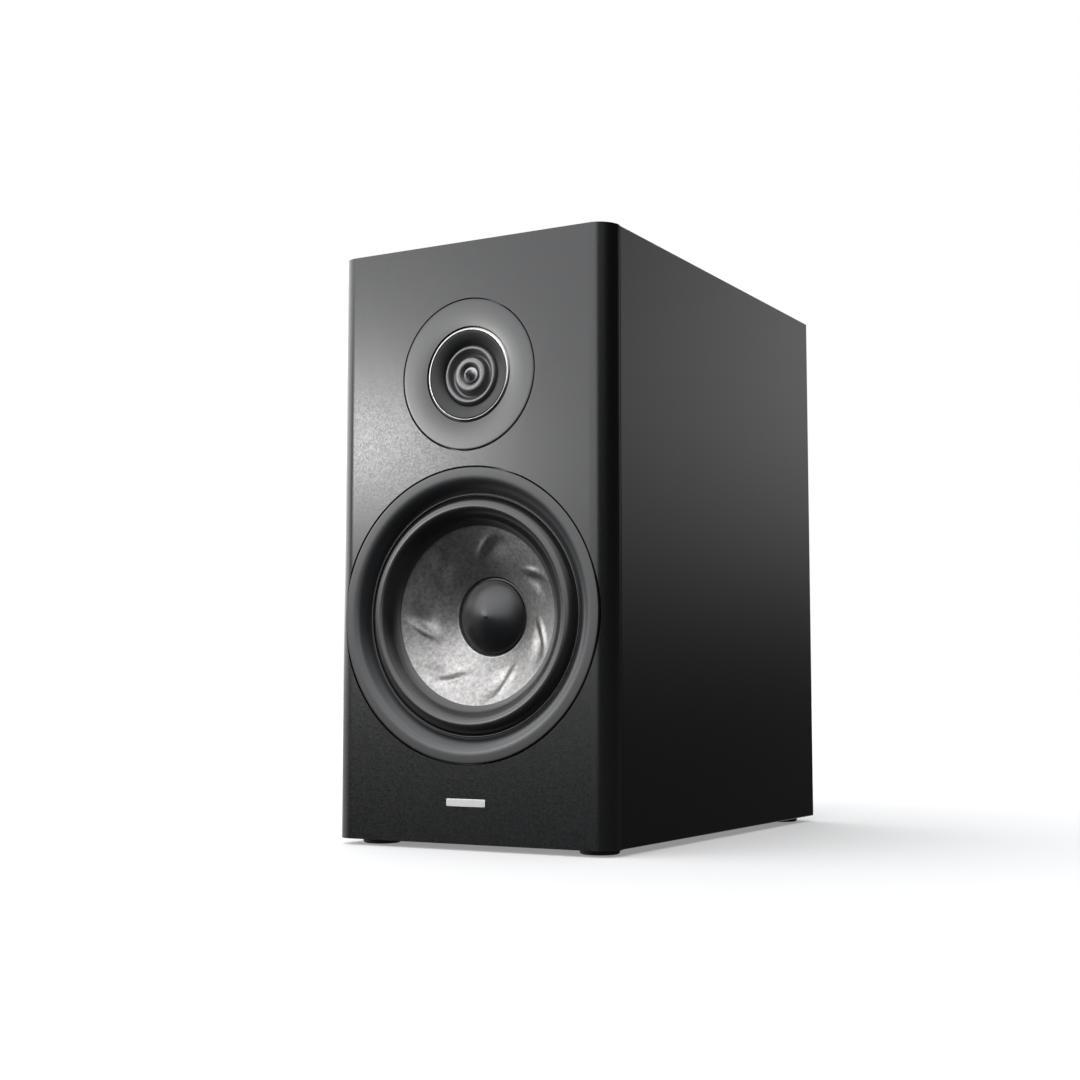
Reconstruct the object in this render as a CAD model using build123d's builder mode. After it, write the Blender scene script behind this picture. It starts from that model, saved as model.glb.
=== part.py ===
"""Two-way bookshelf speaker: MDF cabinet, ring tweeter, turbine-cone woofer, rear port and binding posts.

Millimetres. +Z is up, the drivers face -Y, +X is to the right of someone facing the front.
The origin is on the surface that the speaker stands on, below the middle of the whole object.
Turned profiles are drawn as (radius, depth), with depth counted backwards from the baffle's front face.
"""

import os
from math import cos, radians, sin

from build123d import *

os.makedirs("parts", exist_ok=True)

# ---------------------------------------------------------------- driving dimensions
cabinet_width = 205.0
cabinet_height = 386.0
cabinet_depth = 342.0
panel = 18.0  # side, top, bottom, rear and brace board thickness
edge_round = 1.0

baffle_slab = 15.0  # part of the baffle that shows in front of the shell
baffle_plug = 10.0  # part of the baffle that sits inside the shell
corner_radius = 14.2
seam_chamfer = 0.5  # each side of the groove where the baffle meets the shell
plug_gap = 0.2

foot_height = 4.0
foot_radius = 12.5
foot_x = 81.3  # feet either side of the middle
foot_front_inset = 25.7  # foot centre behind the front face
foot_rear_inset = 14.5  # foot centre ahead of the rear face

tweeter_height = 298.7  # above the cabinet's underside
woofer_height = 144.2
badge_height = 25.8
port_height = 298.7
terminal_height = 96.0
brace_height = 241.0

plug_tip_proud = 3.5  # the tweeter's phase plug stands this far ahead of the baffle
post_reach = 20.0  # the binding posts stand this far behind the rear panel
post_spacing = 19.0
driver_gap = 0.5  # shadow gap round each driver's front plate

# ---------------------------------------------------------------- places worked out from them
overall_depth = plug_tip_proud + cabinet_depth + post_reach
front_y = -overall_depth / 2 + plug_tip_proud
rear_y = front_y + cabinet_depth
bottom_z = foot_height
top_z = bottom_z + cabinet_height
middle_z = (bottom_z + top_z) / 2
half_width = cabinet_width / 2
inner_half_width = half_width - panel
inner_height = cabinet_height - 2 * panel
inner_depth = cabinet_depth - panel  # depth of the rear panel's inner face
baffle_thickness = baffle_slab + baffle_plug
floor_z = bottom_z + panel  # top of the bottom panel
tweeter_z = bottom_z + tweeter_height
woofer_z = bottom_z + woofer_height
port_z = bottom_z + port_height
terminal_z = bottom_z + terminal_height
brace_z = bottom_z + brace_height


def facing_plane(depth, z, x=0.0):
    """Plane that faces the front, at a depth behind the baffle's face: local y is up."""
    return Plane(origin=(x, front_y + depth, z), x_dir=(1, 0, 0), z_dir=(0, -1, 0))


def turn(points, z, x=0.0, mode=Mode.ADD):
    """Turn a closed (radius, depth) outline about the front-to-back axis through x, z."""
    with BuildSketch(Plane(origin=(x, front_y, z))) as outline:
        with BuildLine():
            Polyline(*points, close=True)
        make_face()
    revolve(outline.sketch, axis=Axis((x, front_y, z), (0, 1, 0)), mode=mode)


def drill(radius, start, end, z, x=0.0):
    """Round hole along the front-to-back axis, between two depths."""
    turn([(0, start), (radius, start), (radius, end), (0, end)], z, x, Mode.SUBTRACT)


def polar_places(radius, count, start, z):
    """(x, z) of places spaced evenly round a circle about a driver's axis."""
    angles = [radians(start + 360 * step / count) for step in range(count)]
    return [(radius * cos(angle), z + radius * sin(angle)) for angle in angles]


def save(piece, name):
    piece.part.label = name
    export_step(piece.part, f"parts/{name}.step")


# ================================================================ cabinet shell
wedge = 10.0  # how far the mitre wedges reach past the shell
foot_spigot_radius = 4.0
foot_spigot_height = 8.0
foot_hole_radius = 4.05
foot_places = [
    (side * foot_x, y)
    for side in (-1, 1)
    for y in (front_y + foot_front_inset, rear_y - foot_rear_inset)
]
mitres = {
    "left_side_panel": [(-1, 1), (-1, -1)],
    "right_side_panel": [(1, 1), (1, -1)],
    "top_panel": [(-1, 1), (1, 1)],
    "bottom_panel": [(-1, -1), (1, -1)],
}

for panel_name, corners in mitres.items():
    outer = [(sx * (half_width + wedge), sz * (cabinet_height / 2 + wedge)) for sx, sz in corners]
    inner = [(sx * inner_half_width, sz * inner_height / 2) for sx, sz in corners]
    upright = corners[0][0] == corners[1][0]
    outward = sum(sx + sz for sx, sz in corners) > 0
    with BuildPart() as board:
        with BuildSketch(facing_plane(baffle_slab, middle_z)):
            RectangleRounded(cabinet_width, cabinet_height, edge_round)
            Rectangle(2 * inner_half_width, inner_height, mode=Mode.SUBTRACT)
            with BuildLine():
                Polyline(outer[0], outer[1], inner[1], inner[0], close=True)
            make_face(mode=Mode.INTERSECT)
        extrude(amount=baffle_slab - cabinet_depth)
        front_lines = board.faces().sort_by(Axis.Y)[0].edges().filter_by(GeomType.LINE)
        seam_edge = front_lines.sort_by(Axis.X if upright else Axis.Z)[-1 if outward else 0]
        chamfer(seam_edge, seam_chamfer)
        if panel_name == "bottom_panel":
            with BuildSketch(Plane.XY.offset(bottom_z)):
                with Locations(*foot_places):
                    Circle(foot_hole_radius)
            extrude(amount=foot_spigot_height + 0.5, mode=Mode.SUBTRACT)
    save(board, panel_name)

foot_names = ["foot_front_left", "foot_rear_left", "foot_front_right", "foot_rear_right"]
for foot_name, foot_place in zip(foot_names, foot_places):
    with BuildPart() as foot:
        with BuildSketch(Plane.XY):
            with Locations(foot_place):
                Circle(foot_radius)
        extrude(amount=foot_height)
        fillet(foot.faces().sort_by(Axis.Z)[0].edges(), 0.8)
        with BuildSketch(Plane.XY.offset(foot_height)):
            with Locations(foot_place):
                Circle(foot_spigot_radius)
        extrude(amount=foot_spigot_height)
    save(foot, foot_name)

# ================================================================ front baffle
tweeter_recess_radius = 49.7
tweeter_recess_depth = 6.0
tweeter_hole_radius = 37.4
tweeter_screw_circle = 42.0
tweeter_screw_end = 20.0
ring_radius = 94.6  # woofer trim ring
ring_recess_depth = 7.6
basket_recess_radius = 88.5
basket_recess_depth = 12.4
woofer_hole_radius = 76.0
woofer_screw_circle = 84.2
woofer_screw_end = 22.4
screw_shank = 2.0
screw_hole = 2.05
badge_width = 29.0
badge_tall = 5.0
badge_pocket = 0.6
tweeter_screw_places = polar_places(tweeter_screw_circle, 4, 45, tweeter_z)
woofer_screw_places = polar_places(woofer_screw_circle, 6, 30, woofer_z)

with BuildPart() as front_baffle:
    with BuildSketch(Plane.XY.offset(bottom_z)) as baffle_plan:
        with Locations((0, front_y + baffle_slab / 2)):
            Rectangle(cabinet_width, baffle_slab)
        fillet(baffle_plan.vertices().group_by(Axis.Y)[0], corner_radius)
    extrude(amount=cabinet_height)
    for end_face in (front_baffle.faces().sort_by(Axis.Z)[-1], front_baffle.faces().sort_by(Axis.Z)[0]):
        fillet(end_face.edges().sort_by(Axis.Y)[:-1], 0.6)
    chamfer(front_baffle.faces().sort_by(Axis.Y)[-1].edges(), seam_chamfer)
    with BuildSketch(facing_plane(baffle_slab, middle_z)):
        Rectangle(2 * (inner_half_width - plug_gap), inner_height - 2 * plug_gap)
    extrude(amount=-baffle_plug)
    drill(tweeter_recess_radius, 0, tweeter_recess_depth, tweeter_z)
    drill(tweeter_hole_radius, 0, baffle_thickness, tweeter_z)
    drill(ring_radius + driver_gap, 0, ring_recess_depth, woofer_z)
    drill(basket_recess_radius, 0, basket_recess_depth, woofer_z)
    drill(woofer_hole_radius, 0, baffle_thickness, woofer_z)
    for hole_x, hole_z in tweeter_screw_places:
        drill(screw_hole, tweeter_recess_depth, tweeter_screw_end + 0.5, hole_z, hole_x)
    for hole_x, hole_z in woofer_screw_places:
        drill(screw_hole, basket_recess_depth, woofer_screw_end + 0.5, hole_z, hole_x)
    with BuildSketch(facing_plane(0, bottom_z + badge_height)):
        RectangleRounded(badge_width, badge_tall, 0.8)
    extrude(amount=-badge_pocket, mode=Mode.SUBTRACT)
save(front_baffle, "front_baffle")

with BuildPart() as front_badge:
    with BuildSketch(facing_plane(badge_pocket, bottom_z + badge_height)):
        RectangleRounded(badge_width - 0.1, badge_tall - 0.1, 0.75)
    extrude(amount=badge_pocket + 0.5)
    chamfer(front_badge.faces().sort_by(Axis.Y)[0].edges(), 0.25)
save(front_badge, "front_badge")

# ================================================================ rear panel and brace
port_recess_radius = 45.5
port_recess_depth = 4.0
port_hole_radius = 34.0
plate_width = 92.0
plate_height = 62.0
plate_corner = 8.0
plate_thick = 3.0
plate_window = (70.0, 40.0)
plate_screw_x = 39.0
plate_screw_z = 24.0
plate_screw_length = 13.0
plate_screw_shank = 1.6
plate_screw_places = [
    (side * plate_screw_x, terminal_z + up * plate_screw_z) for side in (-1, 1) for up in (-1, 1)
]

with BuildPart() as rear_panel:
    with BuildSketch(facing_plane(inner_depth, middle_z)):
        Rectangle(2 * inner_half_width, inner_height)
    extrude(amount=-panel)
    drill(port_recess_radius, cabinet_depth - port_recess_depth, cabinet_depth, port_z)
    drill(port_hole_radius, inner_depth, cabinet_depth, port_z)
    with BuildSketch(facing_plane(cabinet_depth, terminal_z)):
        RectangleRounded(plate_width + 0.4, plate_height + 0.4, plate_corner)
    extrude(amount=plate_thick, mode=Mode.SUBTRACT)
    with BuildSketch(facing_plane(inner_depth, terminal_z)):
        RectangleRounded(*plate_window, 6)
    extrude(amount=-panel, mode=Mode.SUBTRACT)
    for hole_x, hole_z in plate_screw_places:
        drill(plate_screw_shank + 0.05, cabinet_depth - plate_thick - plate_screw_length, cabinet_depth,
              hole_z, hole_x)
save(rear_panel, "rear_panel")

brace_window = (62.0, 116.0)
brace_window_x = 40.5
brace_window_y = (-72.0, 68.0)
with BuildPart() as window_brace:
    with BuildSketch(Plane.XY.offset(brace_z - panel / 2)):
        with Locations((0, front_y + (baffle_thickness + inner_depth) / 2)):
            Rectangle(2 * inner_half_width, inner_depth - baffle_thickness)
            with Locations(*[(side * brace_window_x, y) for side in (-1, 1) for y in brace_window_y]):
                RectangleRounded(*brace_window, 14, mode=Mode.SUBTRACT)
    extrude(amount=panel)
save(window_brace, "window_brace")

# ================================================================ woofer
flange_front = 8.4  # depth of the basket flange's front
flange_back = 11.4
cone_edge = (61.0, 9.58)
cone_neck = (19.25, 36.37)
cone_skin = 0.8
former_inner = 18.95
former_front = 34.5
former_back = 66.0
coil_front = 53.0
coil_back = 65.0
coil_radius = 19.85
gap_radius = 20.4
pole_radius = 18.5
basket_floor = 56.0
plate_back = 62.0
magnet_back = 82.0
yoke_back = 88.0
magnet_radius = 54.0
spider_seat = 46.4

with BuildPart() as woofer_trim_ring:
    with BuildSketch(Plane(origin=(0, front_y, woofer_z))):
        with BuildLine():
            Spline((93.9, 0.05), (88.0, 0.62), (82.0, 2.46), (79.0, 6.0),
                   tangents=[(-1, 0), (0, 1)], tangent_scalars=[1.2, 1.2])
            Polyline((79.0, 6.0), (79.0, 7.6), (80.6, 7.6), (80.6, 6.3), (82.8, 4.5), (88.0, 2.6),
                     (92.6, 2.0), (92.6, 7.6), (94.6, 7.6), (94.6, 0.75), (93.9, 0.05))
        make_face()
    revolve(axis=Axis((0, front_y, woofer_z), (0, 1, 0)))
save(woofer_trim_ring, "woofer_trim_ring")

with BuildPart() as woofer_basket:
    turn([(73.2, flange_front), (88.0, flange_front), (88.0, flange_back), (75.4, flange_back),
          (75.4, 17.0), (58.0, 46.0), (58.0, basket_floor), (24.0, basket_floor),
          (24.0, basket_floor - 3), (44.0, basket_floor - 3), (44.0, spider_seat),
          (54.8, spider_seat), (55.85, 44.7), (73.2, 15.7)], woofer_z)
    with BuildSketch(facing_plane(19, woofer_z)):
        with PolarLocations(65, 6, start_angle=0):
            Rectangle(32, 42)
    extrude(amount=-25, mode=Mode.SUBTRACT)
    for hole_x, hole_z in woofer_screw_places:
        drill(screw_hole, flange_front, flange_back, hole_z, hole_x)
save(woofer_basket, "woofer_basket")

with BuildPart() as woofer_gasket:
    turn([(77.0, flange_back), (88.0, flange_back), (88.0, basket_recess_depth),
          (77.0, basket_recess_depth)], woofer_z)
    for hole_x, hole_z in woofer_screw_places:
        drill(screw_hole, flange_back, basket_recess_depth, hole_z, hole_x)
save(woofer_gasket, "woofer_gasket")

with BuildPart() as woofer_screws:
    for hole_x, hole_z in woofer_screw_places:
        turn([(0, 6.2), (1.6, 6.2), (2.8, 6.9), (2.8, flange_front), (screw_shank, flange_front),
              (screw_shank, woofer_screw_end - 2), (0, woofer_screw_end)], hole_z, hole_x)
save(woofer_screws, "woofer_screws")

with BuildPart() as woofer_surround:
    with BuildSketch(Plane(origin=(0, front_y, woofer_z))):
        with BuildLine():
            Polyline((81.0, 8.0), (78.3, 8.0))
            ThreePointArc((78.3, 8.0), (76.4, 4.6), (70.5, 2.8))
            ThreePointArc((70.5, 2.8), (66.9, 3.8), (64.0, 6.5))
            Polyline((64.0, 6.5), (60.78, 9.24), (57.78, 11.165))
        trace(line_width=0.8)
    revolve(axis=Axis((0, front_y, woofer_z), (0, 1, 0)))
save(woofer_surround, "woofer_surround")

with BuildPart() as woofer_cone:
    turn([cone_edge, cone_neck, (cone_neck[0], cone_neck[1] + 0.95),
          (cone_edge[0] + 0.43, cone_edge[1] + 0.675)], woofer_z)
save(woofer_cone, "woofer_cone")

with BuildPart() as woofer_dust_cap:
    with BuildSketch(Plane(origin=(0, front_y, woofer_z))):
        with BuildLine():
            Polyline((0, 24.2), (0, 23.0), (0.6, 23.2))
            Spline((0.6, 23.2), (2.6, 24.0), (8.0, 24.9), (15.0, 26.8), (21.0, 29.8), (24.5, 33.0))
            Polyline((24.5, 33.0), (23.4, 33.706))
            Spline((23.4, 33.706), (20.3, 30.7), (14.6, 27.8), (8.0, 25.9), (2.6, 25.0), (0, 24.7))
            Polyline((0, 24.7), (0, 24.2))
        make_face()
    revolve(axis=Axis((0, front_y, woofer_z), (0, 1, 0)))
save(woofer_dust_cap, "woofer_dust_cap")

with BuildPart() as woofer_coil_former:
    turn([(former_inner, former_front), (cone_neck[0], former_front), (cone_neck[0], former_back),
          (former_inner, former_back)], woofer_z)
save(woofer_coil_former, "woofer_coil_former")

with BuildPart() as woofer_voice_coil:
    turn([(cone_neck[0], coil_front), (coil_radius, coil_front), (coil_radius, coil_back),
          (cone_neck[0], coil_back)], woofer_z)
save(woofer_voice_coil, "woofer_voice_coil")

spider_seat_line = spider_seat - 0.25
spider_inner = cone_neck[0] + 1.2
spider_pitch = 2.4
spider_wave = [(spider_inner + spider_pitch * (step + 1), spider_seat_line + (1.3 if step % 2 else -1.3))
               for step in range(9)]
with BuildPart() as woofer_spider:
    with BuildSketch(Plane(origin=(0, front_y, woofer_z))):
        with BuildLine():
            Polyline((cone_neck[0], spider_seat_line), (spider_inner, spider_seat_line), *spider_wave,
                     (44.6, spider_seat_line), (53.5, spider_seat_line))
        trace(line_width=0.5)
    revolve(axis=Axis((0, front_y, woofer_z), (0, 1, 0)))
save(woofer_spider, "woofer_spider")

with BuildPart() as woofer_top_plate:
    turn([(gap_radius, basket_floor), (50.0, basket_floor), (50.0, plate_back),
          (gap_radius, plate_back)], woofer_z)
save(woofer_top_plate, "woofer_top_plate")

with BuildPart() as woofer_magnet:
    turn([(26.0, plate_back), (magnet_radius - 1, plate_back), (magnet_radius, plate_back + 1),
          (magnet_radius, magnet_back - 1), (magnet_radius - 1, magnet_back), (26.0, magnet_back)],
         woofer_z)
save(woofer_magnet, "woofer_magnet")

with BuildPart() as woofer_yoke:
    turn([(5.0, basket_floor), (pole_radius, basket_floor), (pole_radius, magnet_back),
          (50.0, magnet_back), (50.0, yoke_back - 1.5), (48.5, yoke_back), (7.0, yoke_back),
          (5.0, yoke_back - 2)], woofer_z)
save(woofer_yoke, "woofer_yoke")

# ================================================================ tweeter
face_radius = 49.2
flange_step = 3.0  # depth where the cover plate meets the mounting flange
tweeter_gap_front = 8.0
tweeter_gap_back = 11.0
tweeter_magnet_back = 19.0
tweeter_yoke_back = 22.0
chamber_back = 45.0
roll_seat = 5.0
roll_skin = 0.3

with BuildPart() as tweeter_faceplate:
    turn([(31.0, 0.35), (36.0, 0.15), (42.0, 0.02), (48.8, 0), (face_radius, 0.4),
          (face_radius, flange_step), (31.0, flange_step)], tweeter_z)
save(tweeter_faceplate, "tweeter_faceplate")

with BuildPart() as tweeter_mounting_flange:
    turn([(31.0, flange_step), (48.8, flange_step), (48.8, tweeter_recess_depth),
          (35.0, tweeter_recess_depth), (35.0, tweeter_gap_front), (19.8, tweeter_gap_front),
          (19.8, roll_seat + roll_skin), (21.9, roll_seat + roll_skin), (21.9, roll_seat),
          (31.0, roll_seat)], tweeter_z)
    for hole_x, hole_z in tweeter_screw_places:
        turn([(0, flange_step), (4.0, flange_step), (screw_hole, 5.0),
              (screw_hole, tweeter_recess_depth), (0, tweeter_recess_depth)],
             hole_z, hole_x, Mode.SUBTRACT)
save(tweeter_mounting_flange, "tweeter_mounting_flange")

with BuildPart() as tweeter_screws:
    for hole_x, hole_z in tweeter_screw_places:
        turn([(0, flange_step + 0.05), (3.9, flange_step + 0.05), (screw_shank, 5.0),
              (screw_shank, tweeter_screw_end - 2), (0, tweeter_screw_end)], hole_z, hole_x)
save(tweeter_screws, "tweeter_screws")

with BuildPart() as tweeter_trim_ring:
    turn([(28.6, 1.6), (28.6, 0.45), (28.95, 0.2), (30.35, 0.2), (30.7, 0.45), (30.7, 1.6)],
         tweeter_z)
save(tweeter_trim_ring, "tweeter_trim_ring")

with BuildPart() as tweeter_waveguide:
    with BuildSketch(Plane(origin=(0, front_y, tweeter_z))):
        with BuildLine():
            Polyline((19.6, roll_seat), (19.6, 3.95), (20.0, 3.55))
            Spline((20.0, 3.55), (24.0, 1.75), (27.9, 0.5),
                   tangents=[(1, -0.5), (1, -0.22)])
            Polyline((27.9, 0.5), (28.3, 0.6), (28.3, 1.6), (30.9, 1.6), (30.9, roll_seat),
                     (19.6, roll_seat))
        make_face()
    revolve(axis=Axis((0, front_y, tweeter_z), (0, 1, 0)))
save(tweeter_waveguide, "tweeter_waveguide")

roll_line = roll_seat + roll_skin / 2
trough_line = roll_line + 0.15
with BuildPart() as tweeter_outer_roll:
    with BuildSketch(Plane(origin=(0, front_y, tweeter_z))):
        with BuildLine():
            Polyline((21.8, roll_line), (19.4, roll_line))
            ThreePointArc((19.4, roll_line), (17.0, 3.35), (14.3, trough_line))
            Polyline((14.3, trough_line), (13.6, trough_line))
        trace(line_width=roll_skin)
    revolve(axis=Axis((0, front_y, tweeter_z), (0, 1, 0)))
save(tweeter_outer_roll, "tweeter_outer_roll")

plug_seat = 4.5  # depth of the phase plug's base
with BuildPart() as tweeter_inner_roll:
    with BuildSketch(Plane(origin=(0, front_y, tweeter_z))):
        with BuildLine():
            Polyline((13.6, trough_line), (12.7, trough_line))
            ThreePointArc((12.7, trough_line), (9.2, 2.5), (5.7, plug_seat + roll_skin / 2))
            Polyline((5.7, plug_seat + roll_skin / 2), (2.5, plug_seat + roll_skin / 2))
        trace(line_width=roll_skin)
    revolve(axis=Axis((0, front_y, tweeter_z), (0, 1, 0)))
save(tweeter_inner_roll, "tweeter_inner_roll")

with BuildPart() as tweeter_phase_plug:
    with BuildSketch(Plane(origin=(0, front_y, tweeter_z))):
        with BuildLine():
            Polyline((0, 9.0), (0, -plug_tip_proud))
            Spline((0, -plug_tip_proud), (1.15, 0.2), (3.2, 3.1), (5.2, 4.2),
                   tangents=[(0.18, 1), (1, 0.3)])
            Polyline((5.2, 4.2), (5.2, plug_seat), (2.5, plug_seat), (2.5, 9.0), (0, 9.0))
        make_face()
    revolve(axis=Axis((0, front_y, tweeter_z), (0, 1, 0)))
save(tweeter_phase_plug, "tweeter_phase_plug")

with BuildPart() as tweeter_voice_coil:
    turn([(13.35, trough_line + roll_skin / 2), (13.6, trough_line + roll_skin / 2), (13.6, 7.4),
          (13.8, 7.4), (13.8, 10.4), (13.35, 10.4)], tweeter_z)
save(tweeter_voice_coil, "tweeter_voice_coil")

with BuildPart() as tweeter_top_plate:
    turn([(14.2, tweeter_gap_front), (33.0, tweeter_gap_front), (33.0, tweeter_gap_back),
          (14.2, tweeter_gap_back)], tweeter_z)
save(tweeter_top_plate, "tweeter_top_plate")

with BuildPart() as tweeter_magnet:
    turn([(17.0, tweeter_gap_back), (34.0, tweeter_gap_back), (34.0, tweeter_magnet_back),
          (17.0, tweeter_magnet_back)], tweeter_z)
save(tweeter_magnet, "tweeter_magnet")

with BuildPart() as tweeter_yoke:
    turn([(2.55, plug_seat + roll_skin), (5.2, plug_seat + roll_skin), (5.2, 7.2), (12.9, 8.0),
          (12.9, tweeter_magnet_back), (33.0, tweeter_magnet_back), (33.0, tweeter_yoke_back),
          (0, tweeter_yoke_back), (0, 9.5), (2.55, 9.5)], tweeter_z)
save(tweeter_yoke, "tweeter_yoke")

with BuildPart() as tweeter_rear_chamber:
    turn([(28.0, tweeter_yoke_back), (31.0, tweeter_yoke_back), (31.0, chamber_back - 4),
          (27.0, chamber_back), (0, chamber_back), (0, chamber_back - 3), (25.8, chamber_back - 3),
          (28.0, chamber_back - 5.2)], tweeter_z)
save(tweeter_rear_chamber, "tweeter_rear_chamber")

# ================================================================ rear port
port_bore = 25.0
port_wall = 2.5
port_inner_end = cabinet_depth - 130.0
port_seat = cabinet_depth - 24.0  # where the tube plugs into the flange

with BuildPart() as port_tube:
    with BuildSketch(Plane(origin=(0, front_y, port_z))):
        with BuildLine():
            Polyline((port_bore + port_wall, port_seat), (port_bore, port_seat),
                     (port_bore, port_inner_end + 12))
            Spline((port_bore, port_inner_end + 12), (26.9, port_inner_end + 4), (32.0, port_inner_end),
                   tangents=[(0, -1), (1, -0.25)])
            Polyline((32.0, port_inner_end), (33.5, port_inner_end + 1.5), (33.0, port_inner_end + 3))
            Spline((33.0, port_inner_end + 3), (29.2, port_inner_end + 6.5),
                   (port_bore + port_wall, port_inner_end + 14), tangents=[(-1, 0.3), (0, 1)])
            Polyline((port_bore + port_wall, port_inner_end + 14), (port_bore + port_wall, port_seat))
        make_face()
    revolve(axis=Axis((0, front_y, port_z), (0, 1, 0)))
save(port_tube, "port_tube")

with BuildPart() as port_flange:
    with BuildSketch(Plane(origin=(0, front_y, port_z))):
        with BuildLine():
            Polyline((port_bore, port_seat), (port_bore, cabinet_depth - 18))
            Spline((port_bore, cabinet_depth - 18), (29.0, cabinet_depth - 5.5), (40.0, cabinet_depth),
                   tangents=[(0, 1), (1, 0.12)])
            Polyline((40.0, cabinet_depth), (44.6, cabinet_depth), (45.2, cabinet_depth - 0.6),
                     (45.2, cabinet_depth - port_recess_depth), (33.8, cabinet_depth - port_recess_depth),
                     (30.5, cabinet_depth - 14), (30.5, port_seat - 10),
                     (port_bore + port_wall, port_seat - 10), (port_bore + port_wall, port_seat),
                     (port_bore, port_seat))
        make_face()
    revolve(axis=Axis((0, front_y, port_z), (0, 1, 0)))
save(port_flange, "port_flange")

# ================================================================ terminal plate and binding posts
post_x = post_spacing / 2
stud_radius = 3.0
stud_hole = 3.05
stud_inner_end = cabinet_depth - 13.0
stud_outer_end = cabinet_depth + 19.0
collar_back = cabinet_depth + 3.0
washer_back = cabinet_depth + 4.0
cap_radius = 7.5
socket_radius = 2.0
socket_depth = 15.0
plate_front = cabinet_depth - plate_thick

with BuildPart() as terminal_plate:
    with BuildSketch(facing_plane(plate_front, terminal_z)):
        RectangleRounded(plate_width, plate_height, plate_corner - 0.2)
    extrude(amount=-plate_thick)
    chamfer(terminal_plate.faces().sort_by(Axis.Y)[-1].edges(), 0.4)
    for side in (-1, 1):
        turn([(0, cabinet_depth - 1), (8.5, cabinet_depth - 1), (8.5, collar_back - 0.4),
              (8.1, collar_back), (0, collar_back)], terminal_z, side * post_x)
        drill(stud_hole, plate_front, collar_back, terminal_z, side * post_x)
        drill(5.05, collar_back - 1.5, collar_back, terminal_z, side * post_x)
    for hole_x, hole_z in plate_screw_places:
        turn([(0, cabinet_depth), (3.2, cabinet_depth), (1.7, cabinet_depth - 1.7),
              (1.7, plate_front), (0, plate_front)], hole_z, hole_x, Mode.SUBTRACT)
save(terminal_plate, "terminal_plate")

with BuildPart() as terminal_plate_screws:
    for hole_x, hole_z in plate_screw_places:
        turn([(0, cabinet_depth - 0.05), (3.1, cabinet_depth - 0.05),
              (plate_screw_shank, cabinet_depth - 1.7), (plate_screw_shank, plate_front - 10.5),
              (0, plate_front - plate_screw_length + 0.5)], hole_z, hole_x)
save(terminal_plate_screws, "terminal_plate_screws")

with BuildPart() as post_nuts:
    for side in (-1, 1):
        with BuildSketch(facing_plane(plate_front - 4, terminal_z, side * post_x)):
            RegularPolygon(5.6, 6)
            Circle(stud_hole, mode=Mode.SUBTRACT)
        extrude(amount=-4)
save(post_nuts, "post_nuts")

for side, post_name in ((-1, "left"), (1, "right")):
    with BuildPart() as stud:
        turn([(0, stud_inner_end), (stud_radius, stud_inner_end), (stud_radius, collar_back - 1.5),
              (5.0, collar_back - 1.5), (5.0, collar_back), (stud_radius, collar_back),
              (stud_radius, stud_outer_end - 0.4), (stud_radius - 0.4, stud_outer_end),
              (socket_radius, stud_outer_end), (socket_radius, stud_outer_end - socket_depth),
              (0, stud_outer_end - socket_depth - 1)], terminal_z, side * post_x)
    save(stud, f"post_stud_{post_name}")

    with BuildPart() as washer:
        turn([(stud_hole, collar_back), (7.2, collar_back), (7.2, washer_back),
              (stud_hole, washer_back)], terminal_z, side * post_x)
    save(washer, f"post_washer_{post_name}")

    with BuildPart() as cap:
        with BuildSketch(facing_plane(washer_back, terminal_z, side * post_x)):
            Circle(cap_radius)
            with PolarLocations(cap_radius + 0.25, 18):
                Circle(0.75, mode=Mode.SUBTRACT)
            Circle(stud_hole, mode=Mode.SUBTRACT)
        extrude(amount=-(post_reach - 4))
        turn([(6.9, cabinet_depth + post_reach), (8.0, cabinet_depth + post_reach),
              (8.0, cabinet_depth + post_reach - 1.1)], terminal_z, side * post_x, Mode.SUBTRACT)
    save(cap, f"post_cap_{post_name}")

# ================================================================ crossover
board_size = (104.0, 132.0)
board_depth = 216.0  # middle of the board behind the baffle's face
board_thick = 1.6
board_z = floor_z + 6.0
board_top = board_z + board_thick
board_y = front_y + board_depth
board_hole_places = [(side * 46.0, board_y + end * 60.0) for side in (-1, 1) for end in (-1, 1)]

with BuildPart() as crossover_board:
    with BuildSketch(Plane.XY.offset(board_z)):
        with Locations((0, board_y)):
            RectangleRounded(*board_size, 3)
        with Locations(*board_hole_places):
            Circle(1.65, mode=Mode.SUBTRACT)
    extrude(amount=board_thick)
save(crossover_board, "crossover_board")

with BuildPart() as crossover_standoffs:
    with BuildSketch(Plane.XY.offset(floor_z)):
        with Locations(*board_hole_places):
            Circle(3.5)
    extrude(amount=board_z - floor_z)
    with BuildSketch(Plane.XY.offset(board_z)):
        with Locations(*board_hole_places):
            Circle(1.6)
    extrude(amount=board_thick)
    with BuildSketch(Plane.XY.offset(board_top)):
        with Locations(*board_hole_places):
            Circle(3.0)
    extrude(amount=2)
save(crossover_standoffs, "crossover_standoffs")

inductors = {
    "inductor_large": (-22.0, board_y - 28.0, 25.0, 10.0, 22.0),
    "inductor_small": (28.0, board_y - 30.0, 18.0, 7.0, 15.0),
}
for coil_name, (coil_x, coil_y, coil_outer, coil_inner, coil_height) in inductors.items():
    with BuildPart() as inductor:
        with BuildSketch(Plane.XY.offset(board_top)):
            with Locations((coil_x, coil_y)):
                Circle(coil_outer)
                Circle(coil_inner, mode=Mode.SUBTRACT)
        extrude(amount=coil_height)
        fillet(inductor.faces().sort_by(Axis.Z)[-1].edges(), 1.5)
    save(inductor, coil_name)

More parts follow.
